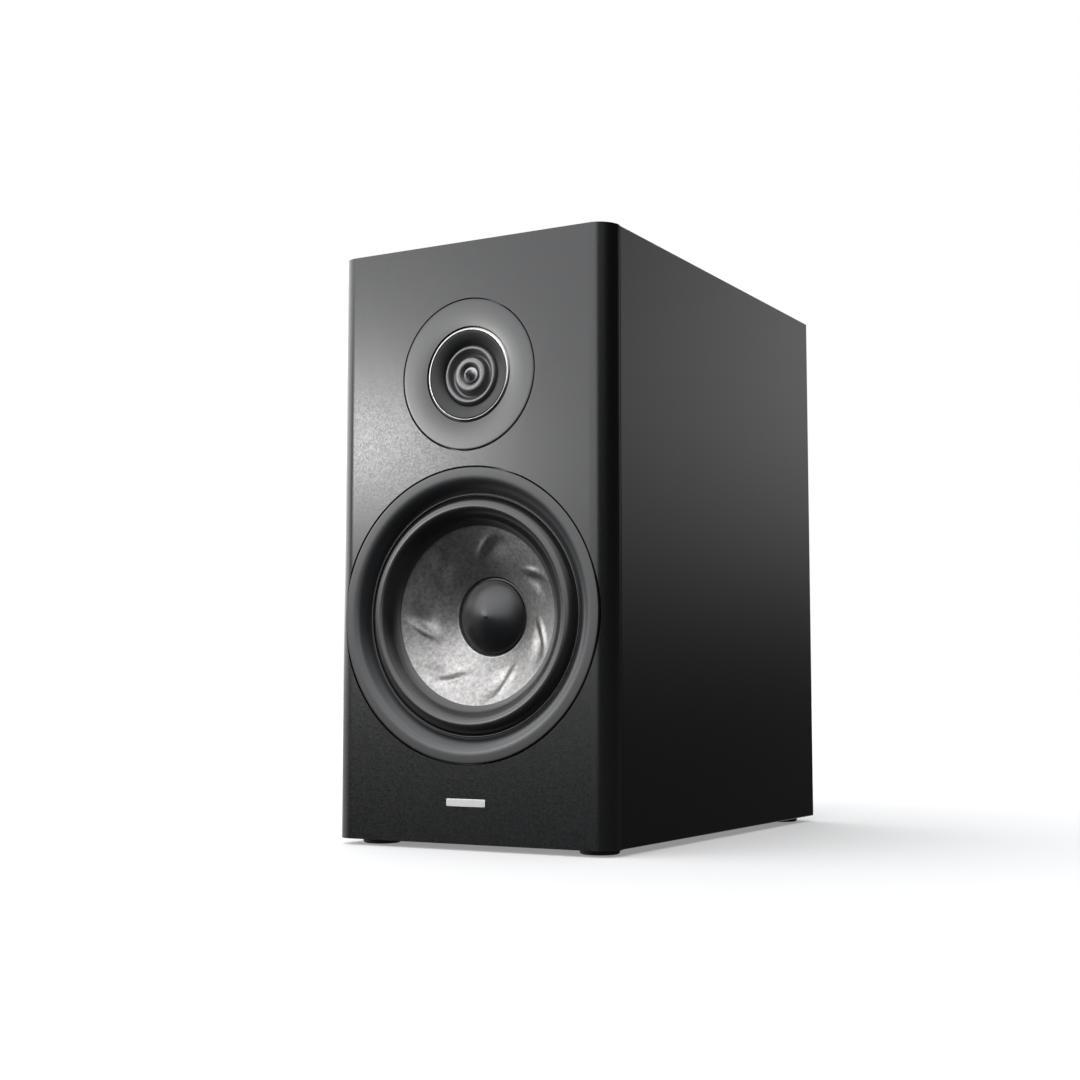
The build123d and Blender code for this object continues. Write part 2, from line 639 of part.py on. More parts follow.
capacitor_radius = 8.5
with BuildPart() as crossover_capacitors:
    for coil_x, start, length in ((18.0, 226.0, 34.0), (38.0, 226.0, 40.0), (-8.0, 234.0, 30.0)):
        turn([(0, start), (capacitor_radius - 1, start), (capacitor_radius, start + 1),
              (capacitor_radius, start + length - 1), (capacitor_radius - 1, start + length),
              (0, start + length)], board_top + capacitor_radius, coil_x)
save(crossover_capacitors, "crossover_capacitors")

with BuildPart() as crossover_resistor:
    with BuildSketch(Plane.XY.offset(board_top)):
        with Locations((-34.0, board_y + 28.0)):
            Rectangle(10, 46)
    extrude(amount=9)
    chamfer(crossover_resistor.edges().filter_by(Axis.Z), 0.8)
save(crossover_resistor, "crossover_resistor")

# ================================================================ wiring and damping
wire_radius = 1.1
wire_runs = []
for side in (-1, 1):
    wire_runs.append(([
        (side * post_x, front_y + stud_inner_end, terminal_z),
        (side * post_x, front_y + 277.0, terminal_z),
        (side * post_x, front_y + 277.0, board_top),
    ], (0, -1, 0), 24.0))
    wire_runs.append(([
        (side * 4.0, front_y + 51.0, woofer_z - 61.0),
        (side * 4.0, front_y + 51.0, 56.0),
        (side * 4.0, front_y + 156.0, 56.0),
        (side * 4.0, front_y + 156.0, board_top),
    ], (0, 0, -1), 12.0))
    wire_runs.append(([
        (side * 3.0 - 10.0, front_y + chamber_back, tweeter_z),
        (side * 3.0 - 10.0, front_y + 100.0, tweeter_z),
        (side * 3.0 - 40.0, front_y + 130.0, 210.0),
        (side * 3.0 - 36.0, front_y + 157.0, 110.0),
        (side * 3.0 - 36.0, front_y + 157.0, board_top),
    ], (0, 1, 0), 20.0))

with BuildPart() as wiring_harness:
    for stops, leaving, bend in wire_runs:
        with BuildLine() as wire_path:
            FilletPolyline(*stops, radius=bend)
        with BuildSketch(Plane(origin=stops[0], z_dir=leaving)):
            Circle(wire_radius)
        sweep(path=wire_path.wires()[0])
save(wiring_harness, "wiring_harness")

with BuildPart() as woofer_terminal_strip:
    with BuildSketch(facing_plane(47, woofer_z - 59.0)):
        Rectangle(18, 4)
    extrude(amount=-8)
    drill(58.0, 46, 56, woofer_z)
save(woofer_terminal_strip, "woofer_terminal_strip")

for side, pad_name in ((-1, "damping_pad_left"), (1, "damping_pad_right")):
    with BuildPart() as damping_pad:
        with BuildSketch(Plane(origin=(side * (inner_half_width - 6), front_y + 190.0, 128.0),
                               z_dir=(1, 0, 0))):
            RectangleRounded(180, 170, 6)
        extrude(amount=6, both=True)
    save(damping_pad, pad_name)
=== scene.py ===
import bpy
import bmesh
from math import atan2, cos, exp, hypot, pi, radians, sin
from mathutils import Matrix, Vector
from mathutils.geometry import interpolate_bezier
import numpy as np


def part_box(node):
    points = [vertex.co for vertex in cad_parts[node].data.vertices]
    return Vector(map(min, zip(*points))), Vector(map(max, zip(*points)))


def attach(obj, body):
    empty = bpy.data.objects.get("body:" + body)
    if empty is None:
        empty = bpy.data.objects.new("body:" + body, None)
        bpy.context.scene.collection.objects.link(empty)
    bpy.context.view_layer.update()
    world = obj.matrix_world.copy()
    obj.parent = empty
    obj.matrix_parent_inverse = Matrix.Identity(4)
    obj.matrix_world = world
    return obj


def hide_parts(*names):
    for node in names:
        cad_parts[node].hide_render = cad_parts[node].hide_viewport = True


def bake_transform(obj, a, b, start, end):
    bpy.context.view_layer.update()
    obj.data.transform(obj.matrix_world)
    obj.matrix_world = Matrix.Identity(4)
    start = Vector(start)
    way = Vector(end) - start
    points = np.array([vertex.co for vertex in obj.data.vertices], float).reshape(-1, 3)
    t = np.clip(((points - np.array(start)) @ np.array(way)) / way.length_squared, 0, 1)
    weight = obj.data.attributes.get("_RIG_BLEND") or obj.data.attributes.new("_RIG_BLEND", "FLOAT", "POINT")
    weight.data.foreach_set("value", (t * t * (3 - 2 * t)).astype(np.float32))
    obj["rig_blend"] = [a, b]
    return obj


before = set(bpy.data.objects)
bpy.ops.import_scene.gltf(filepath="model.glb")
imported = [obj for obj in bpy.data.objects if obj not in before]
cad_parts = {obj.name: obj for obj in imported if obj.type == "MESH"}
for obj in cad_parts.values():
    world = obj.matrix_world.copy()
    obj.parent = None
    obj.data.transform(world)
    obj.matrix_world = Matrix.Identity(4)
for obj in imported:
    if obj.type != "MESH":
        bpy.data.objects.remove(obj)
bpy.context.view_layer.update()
scene = bpy.context.scene


def mm(value):
    return value / 1000


def middleHeight(node):
    low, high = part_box(node)
    return (low.z + high.z) * 500


# the places that everything hangs from, in mm, read off the CAD nodes
baffleSlab = 15  # the baffle's face stands this far ahead of the sides
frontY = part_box("left_side_panel")[0].y * 1000 - baffleSlab
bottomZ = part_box("bottom_panel")[0].z * 1000
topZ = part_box("top_panel")[1].z * 1000
tweeterZ = middleHeight("tweeter_faceplate")
wooferZ = middleHeight("woofer_trim_ring")
badgeZ = middleHeight("front_badge")
print("stage: frame loaded, baffle face at", round(frontY, 2), "mm")

# the camera stands to the speaker's right, about a metre off, and looks slightly up
cameraView = {"place": (565.1, frontY - 901.8, 99.7), "turn": 0.516, "tiltUp": 0.090, "lens": 55.87}
cameraData = bpy.data.cameras.new("camera")
cameraData.sensor_width = 36
cameraData.lens = cameraView["lens"]
cameraData.clip_end = 60
camera = bpy.data.objects.new("camera", cameraData)
camera.location = [mm(value) for value in cameraView["place"]]
camera.rotation_euler = (pi / 2 + cameraView["tiltUp"], 0, cameraView["turn"])
scene.collection.objects.link(camera)
scene.camera = camera


# materials
def shade(code):
    # sRGB hex to the linear colour that the shader wants
    values = [int(code[place:place + 2], 16) / 255 for place in (1, 3, 5)]
    return [v / 12.92 if v <= 0.04045 else ((v + 0.055) / 1.055) ** 2.4 for v in values] + [1]


def addNode(tree, kind, settings=None, values=None, links=None):
    node = tree.nodes.new(kind)
    for name, value in (settings or {}).items():
        setattr(node, name, value)
    for socket, value in (values or {}).items():
        node.inputs[socket].default_value = value
    for socket, source in (links or {}).items():
        tree.links.new(source, node.inputs[socket])
    return node


def startMaterial(name):
    material = bpy.data.materials.new(name)
    material.use_nodes = True
    tree = material.node_tree
    tree.nodes.clear()
    output = addNode(tree, "ShaderNodeOutputMaterial")
    shader = addNode(tree, "ShaderNodeBsdfPrincipled")
    tree.links.new(shader.outputs[0], output.inputs["Surface"])
    place = addNode(tree, "ShaderNodeTexCoord").outputs["Object"]
    return material, tree, shader, place


def grained(name, look):
    # a plain stock finish: colour drifts between two shades over patchMm, grain of grainMm in the relief
    material, tree, shader, place = startMaterial(name)
    patch = addNode(tree, "ShaderNodeTexNoise",
                    values={"Scale": 1000 / look["patchMm"], "Detail": 3.0, "Roughness": 0.6},
                    links={"Vector": place})
    colour = addNode(tree, "ShaderNodeMix", {"data_type": "RGBA"},
                     {6: shade(look["colours"][0]), 7: shade(look["colours"][1])}, {0: patch.outputs[0]})
    tree.links.new(colour.outputs[2], shader.inputs["Base Color"])
    grain = addNode(tree, "ShaderNodeTexNoise",
                    values={"Scale": 1000 / look["grainMm"], "Detail": 2.0, "Roughness": 0.5},
                    links={"Vector": place})
    rough = addNode(tree, "ShaderNodeMapRange",
                    values={1: 0.3, 2: 0.7, 3: look["roughness"][0], 4: look["roughness"][1]},
                    links={0: grain.outputs[0]})
    tree.links.new(rough.outputs[0], shader.inputs["Roughness"])
    relief = addNode(tree, "ShaderNodeBump", values={"Strength": look.get("strength", 0.3),
                     "Distance": mm(look["reliefMm"])}, links={"Height": grain.outputs[0]})
    tree.links.new(relief.outputs[0], shader.inputs["Normal"])
    shader.inputs["Metallic"].default_value = look.get("metallic", 0.0)
    if "ior" in look:
        shader.inputs["IOR"].default_value = look["ior"]
    if "sheen" in look:
        shader.inputs["Sheen Weight"].default_value = look["sheen"]
    return material


looks = {
    # vinyl foil on fibreboard: a low even gloss with almost no grain
    "satinFoil": {"colours": ("#0a0b0c", "#0d0e0f"), "patchMm": 60, "grainMm": 0.5, "reliefMm": 0.004,
                  "roughness": (0.22, 0.26), "ior": 1.5},
    # injection-moulded ABS with a fine spark-eroded texture
    "mouldedAbs": {"colours": ("#131415", "#17181a"), "patchMm": 14, "grainMm": 0.35, "reliefMm": 0.02,
                   "roughness": (0.30, 0.36), "ior": 1.53},
    # the tweeter's plate is moulded smoother than the woofer ring
    "smoothAbs": {"colours": ("#131415", "#16171a"), "patchMm": 20, "grainMm": 0.25, "reliefMm": 0.008,
                  "roughness": (0.22, 0.26), "ior": 1.53},
    # the dish inside the silver ring is blasted matt, and its colour is set darker than the plate's as painted
    # shade, so that it stays darker than the plate
    "mattAbs": {"colours": ("#0e0f10", "#121314"), "patchMm": 12, "grainMm": 0.3, "reliefMm": 0.012,
                "roughness": (0.40, 0.48), "ior": 1.42},
    # butyl rubber as it leaves the mould: smooth, soft highlight, slight bloom
    "butylRubber": {"colours": ("#0c0c0d", "#121213"), "patchMm": 9, "grainMm": 0.3, "reliefMm": 0.006,
                    "roughness": (0.26, 0.34), "ior": 1.56},
    # pressed dust cap with a matt lacquer
    "lacqueredCap": {"colours": ("#0b0c0d", "#101113"), "patchMm": 7, "grainMm": 0.4, "reliefMm": 0.015,
                     "roughness": (0.28, 0.36), "ior": 1.52},
    # coated dome film of the ring radiator: dark, slightly metallic, glossy
    "coatedFilm": {"colours": ("#4f4f50", "#6c6c6c"), "patchMm": 1.5, "grainMm": 0.4, "reliefMm": 0.03,
                   "roughness": (0.30, 0.42), "metallic": 0.8},
    # satin anodised aluminium of the tweeter's trim
    "anodisedSilver": {"colours": ("#8e8d8a", "#a09f9c"), "patchMm": 3, "grainMm": 0.2, "reliefMm": 0.004,
                       "roughness": (0.16, 0.22), "metallic": 1.0},
    # bead-blasted then anodised phase plug
    "turnedPlug": {"colours": ("#7c7c7d", "#8e8e8f"), "patchMm": 2, "grainMm": 0.2, "reliefMm": 0.006,
                   "roughness": (0.34, 0.42), "metallic": 1.0},
    # brushed badge bar, lines run along it
    "badgeMetal": {"colours": ("#b9b9b8", "#cdcdcb"), "patchMm": 2, "grainMm": 0.15, "reliefMm": 0.006,
                   "roughness": (0.30, 0.42), "metallic": 1.0},
    # moulded feet
    "footRubber": {"colours": ("#0b0b0b", "#131313"), "patchMm": 5, "grainMm": 0.4, "reliefMm": 0.03,
                   "roughness": (0.6, 0.75), "ior": 1.5},
    # bare MDF inside
    "bareFibreboard": {"colours": ("#8a6a48", "#9c7b57"), "patchMm": 4, "grainMm": 0.8, "reliefMm": 0.05,
                       "roughness": (0.8, 0.95)},
    # die-cast basket under black powder coat
    "powderCoat": {"colours": ("#131314", "#1b1b1c"), "patchMm": 8, "grainMm": 0.7, "reliefMm": 0.05,
                   "roughness": (0.45, 0.6)},
    # closed-cell foam gasket
    "gasketFoam": {"colours": ("#141414", "#202020"), "patchMm": 2, "grainMm": 0.6, "reliefMm": 0.1,
                   "roughness": (0.85, 0.95)},
    # phosphate-black screws
    "blackScrew": {"colours": ("#1a1a1b", "#242426"), "patchMm": 2, "grainMm": 0.3, "reliefMm": 0.01,
                   "roughness": (0.35, 0.45), "metallic": 0.9},
    # polyimide coil former
    "amberFilm": {"colours": ("#8a5a1c", "#9a6a2a"), "patchMm": 5, "grainMm": 0.5, "reliefMm": 0.005,
                  "roughness": (0.25, 0.35)},
    # zinc-plated plates
    "zincPlate": {"colours": ("#8f9193", "#a3a5a6"), "patchMm": 6, "grainMm": 0.5, "reliefMm": 0.01,
                  "roughness": (0.28, 0.4), "metallic": 1.0},
    # sintered ferrite ring
    "ferrite": {"colours": ("#1d1e20", "#2a2b2e"), "patchMm": 4, "grainMm": 0.4, "reliefMm": 0.04,
                "roughness": (0.6, 0.75)},
    # gold-flashed brass posts
    "goldFlash": {"colours": ("#c99a3f", "#dbb05a"), "patchMm": 3, "grainMm": 0.2, "reliefMm": 0.004,
                  "roughness": (0.16, 0.26), "metallic": 1.0},
    # tinted post caps
    "capRed": {"colours": ("#7c0c0c", "#941414"), "patchMm": 4, "grainMm": 0.3, "reliefMm": 0.01,
               "roughness": (0.2, 0.3), "ior": 1.49},
    "capBlack": {"colours": ("#0b0b0c", "#121213"), "patchMm": 4, "grainMm": 0.3, "reliefMm": 0.01,
                 "roughness": (0.2, 0.3), "ior": 1.49},
    # glass-epoxy board with green mask
    "boardLaminate": {"colours": ("#1f4a2a", "#2a5a35"), "patchMm": 3, "grainMm": 0.4, "reliefMm": 0.02,
                      "roughness": (0.35, 0.5)},
    # natural nylon
    "nylon": {"colours": ("#d9d7cf", "#e6e4dc"), "patchMm": 4, "grainMm": 0.3, "reliefMm": 0.01,
              "roughness": (0.45, 0.55)},
    # dipped film capacitors
    "capacitorFilm": {"colours": ("#6f1a12", "#84231a"), "patchMm": 6, "grainMm": 0.3, "reliefMm": 0.01,
                      "roughness": (0.25, 0.35)},
    # cement power resistor
    "cement": {"colours": ("#c9c5ba", "#dad6cc"), "patchMm": 2, "grainMm": 0.5, "reliefMm": 0.06,
               "roughness": (0.75, 0.9)},
    # soft PVC jackets
    "wireJacket": {"colours": ("#141414", "#1c1c1c"), "patchMm": 5, "grainMm": 0.3, "reliefMm": 0.01,
                   "roughness": (0.4, 0.5)},
    # polyester wadding
    "wadding": {"colours": ("#c9c7c0", "#e2e0d9"), "patchMm": 6, "grainMm": 1.2, "reliefMm": 0.8,
                "roughness": (0.9, 1.0), "sheen": 0.3, "strength": 0.8},
}
finish = {name: grained(name, look) for name, look in looks.items()}

# baffle foil: the same satin black with a hammered grain that glitters where light grazes it; the grain is
# drawn coarse enough to show
baffleLook = {"colours": ("#0a0b0c", "#0f1011"), "grainMm": 0.7, "glitterMm": 0.6, "reliefMm": 0.0075,
              "roughness": (0.20, 0.27)}
finish["sparkleFoil"], tree, shader, place = startMaterial("sparkleFoil")
grain = addNode(tree, "ShaderNodeTexNoise",
                values={"Scale": 1000 / baffleLook["grainMm"], "Detail": 2.0, "Roughness": 0.55},
                links={"Vector": place})
flake = addNode(tree, "ShaderNodeTexVoronoi", values={"Scale": 1000 / baffleLook["glitterMm"]},
                links={"Vector": place})
colour = addNode(tree, "ShaderNodeMix", {"data_type": "RGBA"},
                 {6: shade(baffleLook["colours"][0]), 7: shade(baffleLook["colours"][1])},
                 {0: grain.outputs[0]})
rough = addNode(tree, "ShaderNodeMapRange", values={1: 0.3, 2: 0.7, 3: baffleLook["roughness"][0],
                4: baffleLook["roughness"][1]}, links={0: flake.outputs["Color"]})
height = addNode(tree, "ShaderNodeMath", {"operation": "ADD"},
                 links={0: grain.outputs[0], 1: flake.outputs["Distance"]})
relief = addNode(tree, "ShaderNodeBump", values={"Strength": 0.25, "Distance": mm(baffleLook["reliefMm"])},
                 links={"Height": height.outputs[0]})
tree.links.new(colour.outputs[2], shader.inputs["Base Color"])
tree.links.new(rough.outputs[0], shader.inputs["Roughness"])
tree.links.new(relief.outputs[0], shader.inputs["Normal"])
shader.inputs["IOR"].default_value = 1.5

# woofer cone: mica-filled skin, cloudy silver grey, with a felted fibre relief
coneLook = {"colours": ("#7a7978", "#a2a09e"), "cloudMm": 2.6, "fibreMm": 0.6, "reliefMm": 0.05,
            "roughness": (0.30, 0.42)}
finish["micaCone"], tree, shader, place = startMaterial("micaCone")
cloud = addNode(tree, "ShaderNodeTexNoise",
                values={"Scale": 1000 / coneLook["cloudMm"], "Detail": 5.0, "Roughness": 0.7,
                        "Distortion": 0.15}, links={"Vector": place})
fibre = addNode(tree, "ShaderNodeTexNoise",
                values={"Scale": 1000 / coneLook["fibreMm"], "Detail": 3.0, "Roughness": 0.6,
                        "Distortion": 0.4}, links={"Vector": place})
spread = addNode(tree, "ShaderNodeMapRange", values={1: 0.35, 2: 0.65, 3: 0.0, 4: 1.0},
                 links={0: cloud.outputs[0]})
colour = addNode(tree, "ShaderNodeMix", {"data_type": "RGBA"},
                 {6: shade(coneLook["colours"][0]), 7: shade(coneLook["colours"][1])}, {0: spread.outputs[0]})
rough = addNode(tree, "ShaderNodeMapRange", values={1: 0.3, 2: 0.7, 3: coneLook["roughness"][0],
                4: coneLook["roughness"][1]}, links={0: fibre.outputs[0]})
height = addNode(tree, "ShaderNodeMath", {"operation": "MULTIPLY_ADD"}, {1: 0.5},
                 {0: fibre.outputs[0], 2: cloud.outputs[0]})
relief = addNode(tree, "ShaderNodeBump", values={"Strength": 0.5, "Distance": mm(coneLook["reliefMm"])},
                 links={"Height": height.outputs[0]})
tree.links.new(colour.outputs[2], shader.inputs["Base Color"])
tree.links.new(rough.outputs[0], shader.inputs["Roughness"])
tree.links.new(relief.outputs[0], shader.inputs["Normal"])
shader.inputs["Metallic"].default_value = 0.9

# enamelled copper: turns 0.6 mm apart
copperLook = {"colours": ("#7a3a1c", "#b8673a"), "turnMm": 0.6, "reliefMm": 0.2}
finish["enamelCopper"], tree, shader, place = startMaterial("enamelCopper")
turns = addNode(tree, "ShaderNodeTexWave", {"bands_direction": "Z"},
                {"Scale": 1000 / copperLook["turnMm"] / 20, "Distortion": 0.3}, {"Vector": place})
colour = addNode(tree, "ShaderNodeMix", {"data_type": "RGBA"},
                 {6: shade(copperLook["colours"][0]), 7: shade(copperLook["colours"][1])},
                 {0: turns.outputs[0]})
relief = addNode(tree, "ShaderNodeBump", values={"Strength": 0.6, "Distance": mm(copperLook["reliefMm"])},
                 links={"Height": turns.outputs[0]})
tree.links.new(colour.outputs[2], shader.inputs["Base Color"])
tree.links.new(relief.outputs[0], shader.inputs["Normal"])
shader.inputs["Metallic"].default_value = 0.9
shader.inputs["Roughness"].default_value = 0.32

# spider: phenolic cotton with a 0.8 mm weave
clothLook = {"colours": ("#8f6a35", "#c39a58"), "threadMm": 0.8, "reliefMm": 0.15}
finish["phenolicCloth"], tree, shader, place = startMaterial("phenolicCloth")
warp = addNode(tree, "ShaderNodeTexWave", {"bands_direction": "X"},
               {"Scale": 1000 / clothLook["threadMm"] / 20}, {"Vector": place})
weft = addNode(tree, "ShaderNodeTexWave", {"bands_direction": "Z"},
               {"Scale": 1000 / clothLook["threadMm"] / 20}, {"Vector": place})
weave = addNode(tree, "ShaderNodeMath", {"operation": "MULTIPLY"},
                links={0: warp.outputs[0], 1: weft.outputs[0]})
colour = addNode(tree, "ShaderNodeMix", {"data_type": "RGBA"},
                 {6: shade(clothLook["colours"][0]), 7: shade(clothLook["colours"][1])},
                 {0: weave.outputs[0]})
relief = addNode(tree, "ShaderNodeBump", values={"Strength": 0.6, "Distance": mm(clothLook["reliefMm"])},
                 links={"Height": weave.outputs[0]})
tree.links.new(colour.outputs[2], shader.inputs["Base Color"])
tree.links.new(relief.outputs[0], shader.inputs["Normal"])
shader.inputs["Roughness"].default_value = 0.8
shader.inputs["Sheen Weight"].default_value = 0.2
print("stage:", len(finish), "materials made")


# meshes
def curved(points, steps=6):
    # a smooth run through the points, as a bezier with its handles a third of the way along each span
    line = []
    for place in range(len(points) - 1):
        start, end = Vector(points[place]), Vector(points[place + 1])
        before = Vector(points[place - 1]) if place else start
        after = Vector(points[place + 2]) if place + 2 < len(points) else end
        span = (end - start).length
        leave = (end - before).normalized() * span / 3
        arrive = (after - start).normalized() * span / 3
        line += interpolate_bezier(start, start + leave, end - arrive, end, steps + 1)[:-1]
    return [tuple(point[:2]) for point in line] + [tuple(points[-1])]


def thickened(front, wall):
    # the same line again, wall behind it, joined up into a closed outline
    back = []
    for place, point in enumerate(front):
        before = Vector(front[max(place - 1, 0)])
        after = Vector(front[min(place + 1, len(front) - 1)])
        along = (after - before).normalized()
        away = Vector((along.y, -along.x)) if after.x < before.x else Vector((-along.y, along.x))
        back.append((max(point[0] + away.x * wall, 0), point[1] + away.y * wall))
    return list(front) + back[::-1]


def turned(profile, centreZ, steps=192, closed=True):
    # (radius, depth) points in mm, spun about the front-to-back axis
    work = bmesh.new()
    points = [work.verts.new((mm(r), mm(frontY + d), mm(centreZ))) for r, d in profile]
    for place in range(len(points) - 1):
        work.edges.new((points[place], points[place + 1]))
    if closed:
        work.edges.new((points[-1], points[0]))
    bmesh.ops.spin(work, geom=work.verts[:] + work.edges[:], cent=(0, 0, mm(centreZ)),
                   axis=(0, 1, 0), dvec=(0, 0, 0), angle=2 * pi, steps=steps, use_merge=True,
                   use_duplicate=False)
    bmesh.ops.remove_doubles(work, verts=work.verts[:], dist=1e-6)
    bmesh.ops.dissolve_degenerate(work, edges=work.edges[:], dist=1e-7)
    bmesh.ops.recalc_face_normals(work, faces=work.faces[:])
    return work


def addPiece(name, work, material, body, stands=(), sharpAt=32):
    # smooth shading with crisp edges where the faces turn by more than sharpAt degrees
    for face in work.faces:
        face.smooth = True
    for edge in work.edges:
        if len(edge.link_faces) == 2 and edge.calc_face_angle(0) > radians(sharpAt):
            edge.smooth = False
    mesh = bpy.data.meshes.new(name)
    work.to_mesh(mesh)
    work.free()
    mesh.materials.append(finish[material])
    piece = bpy.data.objects.new(name, mesh)
    scene.collection.objects.link(piece)
    if body:
        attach(piece, body)
    if stands:
        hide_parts(*stands)
    return piece


def softenEdges(piece, width):
    # a tiny radius on the crisp edges, so that they catch the light
    bevel = piece.modifiers.new("edges", "BEVEL")
    bevel.width = mm(width)
    bevel.segments = 2
    bevel.limit_method = "ANGLE"
    bevel.angle_limit = radians(32)
    bevel.harden_normals = True


def boxOf(low, high):
    work = bmesh.new()
    bmesh.ops.create_cube(work, size=1)
    size = [mm(b - a) for a, b in zip(low, high)]
    middle = [mm((a + b) / 2) for a, b in zip(low, high)]
    placing = Matrix.Translation(middle) @ Matrix.Diagonal(size + [1])
    bmesh.ops.transform(work, matrix=placing, verts=work.verts)
    return work


def bevelled(work, edges, width, segments):
    bmesh.ops.bevel(work, geom=edges, offset=mm(width), segments=segments, profile=0.5,
                    affect="EDGES", material=-1)


def cutWith(work, cutters):
    # takes the cutters out of the shape and gives back a bmesh
    shape = bpy.data.meshes.new("shape")
    work.to_mesh(shape)
    work.free()
    blank = bpy.data.objects.new("blank", shape)
    scene.collection.objects.link(blank)
    tools = []
    for cutter in cutters:
        toolMesh = bpy.data.meshes.new("tool")
        cutter.to_mesh(toolMesh)
        cutter.free()
        tool = bpy.data.objects.new("tool", toolMesh)
        scene.collection.objects.link(tool)
        cut = blank.modifiers.new("cut", "BOOLEAN")
        cut.operation = "DIFFERENCE"
        cut.solver = "EXACT"
        cut.object = tool
        tools.append(tool)
    bpy.context.view_layer.update()
    made = blank.evaluated_get(bpy.context.evaluated_depsgraph_get())
    result = bmesh.new()
    result.from_mesh(bpy.data.meshes.new_from_object(made))
    for spare in tools + [blank]:
        bpy.data.objects.remove(spare)
    return result


# baffle
baffle = {"width": 205, "plug": 10, "plugInset": 18.2, "corner": 14.2, "cornerSteps": 24, "seam": 0.5,
          "edge": 0.18}
work = boxOf((-baffle["width"] / 2, frontY, bottomZ), (baffle["width"] / 2, frontY + baffleSlab, topZ))
backY = mm(frontY + baffleSlab)
rim = [edge for edge in work.edges if all(abs(v.co.y - backY) < 1e-6 for v in edge.verts)]
bevelled(work, rim, baffle["seam"], 1)
work.faces.ensure_lookup_table()
back = max(work.faces, key=lambda face: face.calc_center_median().y)
bmesh.ops.inset_region(work, faces=[back], thickness=mm(baffle["plugInset"] - baffle["seam"]),
                       use_even_offset=True)
grown = bmesh.ops.extrude_face_region(work, geom=[back])["geom"]
bmesh.ops.translate(work, vec=(0, mm(baffle["plug"]), 0),
                    verts=[part for part in grown if isinstance(part, bmesh.types.BMVert)])
bmesh.ops.delete(work, geom=[back], context="FACES_ONLY")
uprights = [edge for edge in work.edges if all(abs(v.co.y - mm(frontY)) < 1e-6 for v in edge.verts)
            and abs(edge.verts[0].co.z - edge.verts[1].co.z) > 0.1]
bevelled(work, uprights, baffle["corner"], baffle["cornerSteps"])
bmesh.ops.remove_doubles(work, verts=work.verts[:], dist=1e-6)
bmesh.ops.recalc_face_normals(work, faces=work.faces[:])
recess = {"tweeter": [(0, -5), (49.8, -5), (49.8, 6.0), (37.4, 6.0), (37.4, 40), (0, 40)],
          "woofer": [(0, -5), (95.2, -5), (95.2, 7.6), (88.5, 7.6), (88.5, 12.4), (76, 12.4), (76, 40),
                     (0, 40)]}
work = cutWith(work, [turned(recess["tweeter"], tweeterZ), turned(recess["woofer"], wooferZ)])
softenEdges(addPiece("baffleFront", work, "sparkleFoil", "cabinet", ["front_baffle"]), baffle["edge"])
print("stage: baffle made")

# badge: a plain bar with softened ends
badge = {"width": 28.9, "tall": 4.9, "thick": 1.1, "proud": 0.5, "corner": 0.9, "edge": 0.25}
work = boxOf((-badge["width"] / 2, frontY - badge["proud"], badgeZ - badge["tall"] / 2),
             (badge["width"] / 2, frontY - badge["proud"] + badge["thick"], badgeZ + badge["tall"] / 2))
ends = [edge for edge in work.edges if abs(edge.verts[0].co.y - edge.verts[1].co.y) > mm(0.5)]
bevelled(work, ends, badge["corner"], 6)
softenEdges(addPiece("badgeBar", work, "badgeMetal", "cabinet", ["front_badge"]), badge["edge"])

# woofer trim ring: flat at its rim, then it falls away ever faster towards the surround
ring = {"face": [(93.6, 0.0), (91.0, 0.03), (88.0, 0.14), (85.9, 0.5), (84.1, 1.2), (82.3, 2.4), (80.6, 4.0),
                 (79.3, 5.6), (78.4, 6.8)],
        "lip": [(78.1, 7.0), (77.8, 6.75), (77.4, 6.55), (77.0, 6.65), (76.8, 7.1)],
        "inside": [(76.9, 7.5), (80.6, 7.6), (81.4, 6.4), (84.0, 3.9), (88.0, 2.6), (92.6, 2.2), (92.6, 7.6),
                   (94.3, 7.6)],
        "rim": [(94.3, 0.6), (94.1, 0.15), (93.6, 0.0)], "edge": 0.15}
outline = curved(ring["face"], 5) + curved(ring["lip"], 4) + ring["inside"] + curved(ring["rim"], 3)[:-1]
wooferRing = addPiece("wooferRing", turned(outline, wooferZ), "mouldedAbs", "cabinet", ["woofer_trim_ring"])
softenEdges(wooferRing, ring["edge"])

# surround: one half roll, then a straight apron down to the cone
surround = {"foot": [(81.0, 7.7), (77.4, 7.75)],
            "roll": [(76.5, 7.6), (75.7, 6.6), (74.6, 4.9), (72.5, 3.1), (69.6, 2.4), (67.1, 3.0),
                     (65.1, 4.5), (63.4, 6.5), (62.0, 8.3), (60.5, 9.45), (57.7, 10.9)], "wall": 0.75}
line = surround["foot"] + curved(surround["roll"], 5)
work = turned(thickened(line, surround["wall"]), wooferZ)
wooferSurround = addPiece("wooferSurround", work, "butylRubber", None)

# cone: straight-sided, with seven spiral creases pressed into it
cone = {"edge": (61.0, 9.58), "neck": (19.3, 36.3),
        "bead": [(26.6, 31.66), (26.25, 31.75), (25.9, 32.2), (25.6, 33.6), (24.4, 34.6)],
        "wall": 0.8, "steps": 420, "rings": 70}
crease = {"angles": (85.0, 136.4, 187.8, 239.3, 290.7, 342.1, 33.6), "inner": 34.0, "outer": 57.5,
          "lean": 27.0, "deep": 1.9, "high": 1.4, "hollowAt": -4.0, "steep": 4.2, "gentle": 8.5,
          "crestAt": 2.6, "crestWide": 3.5, "reach": 22, "taper": 2.6}


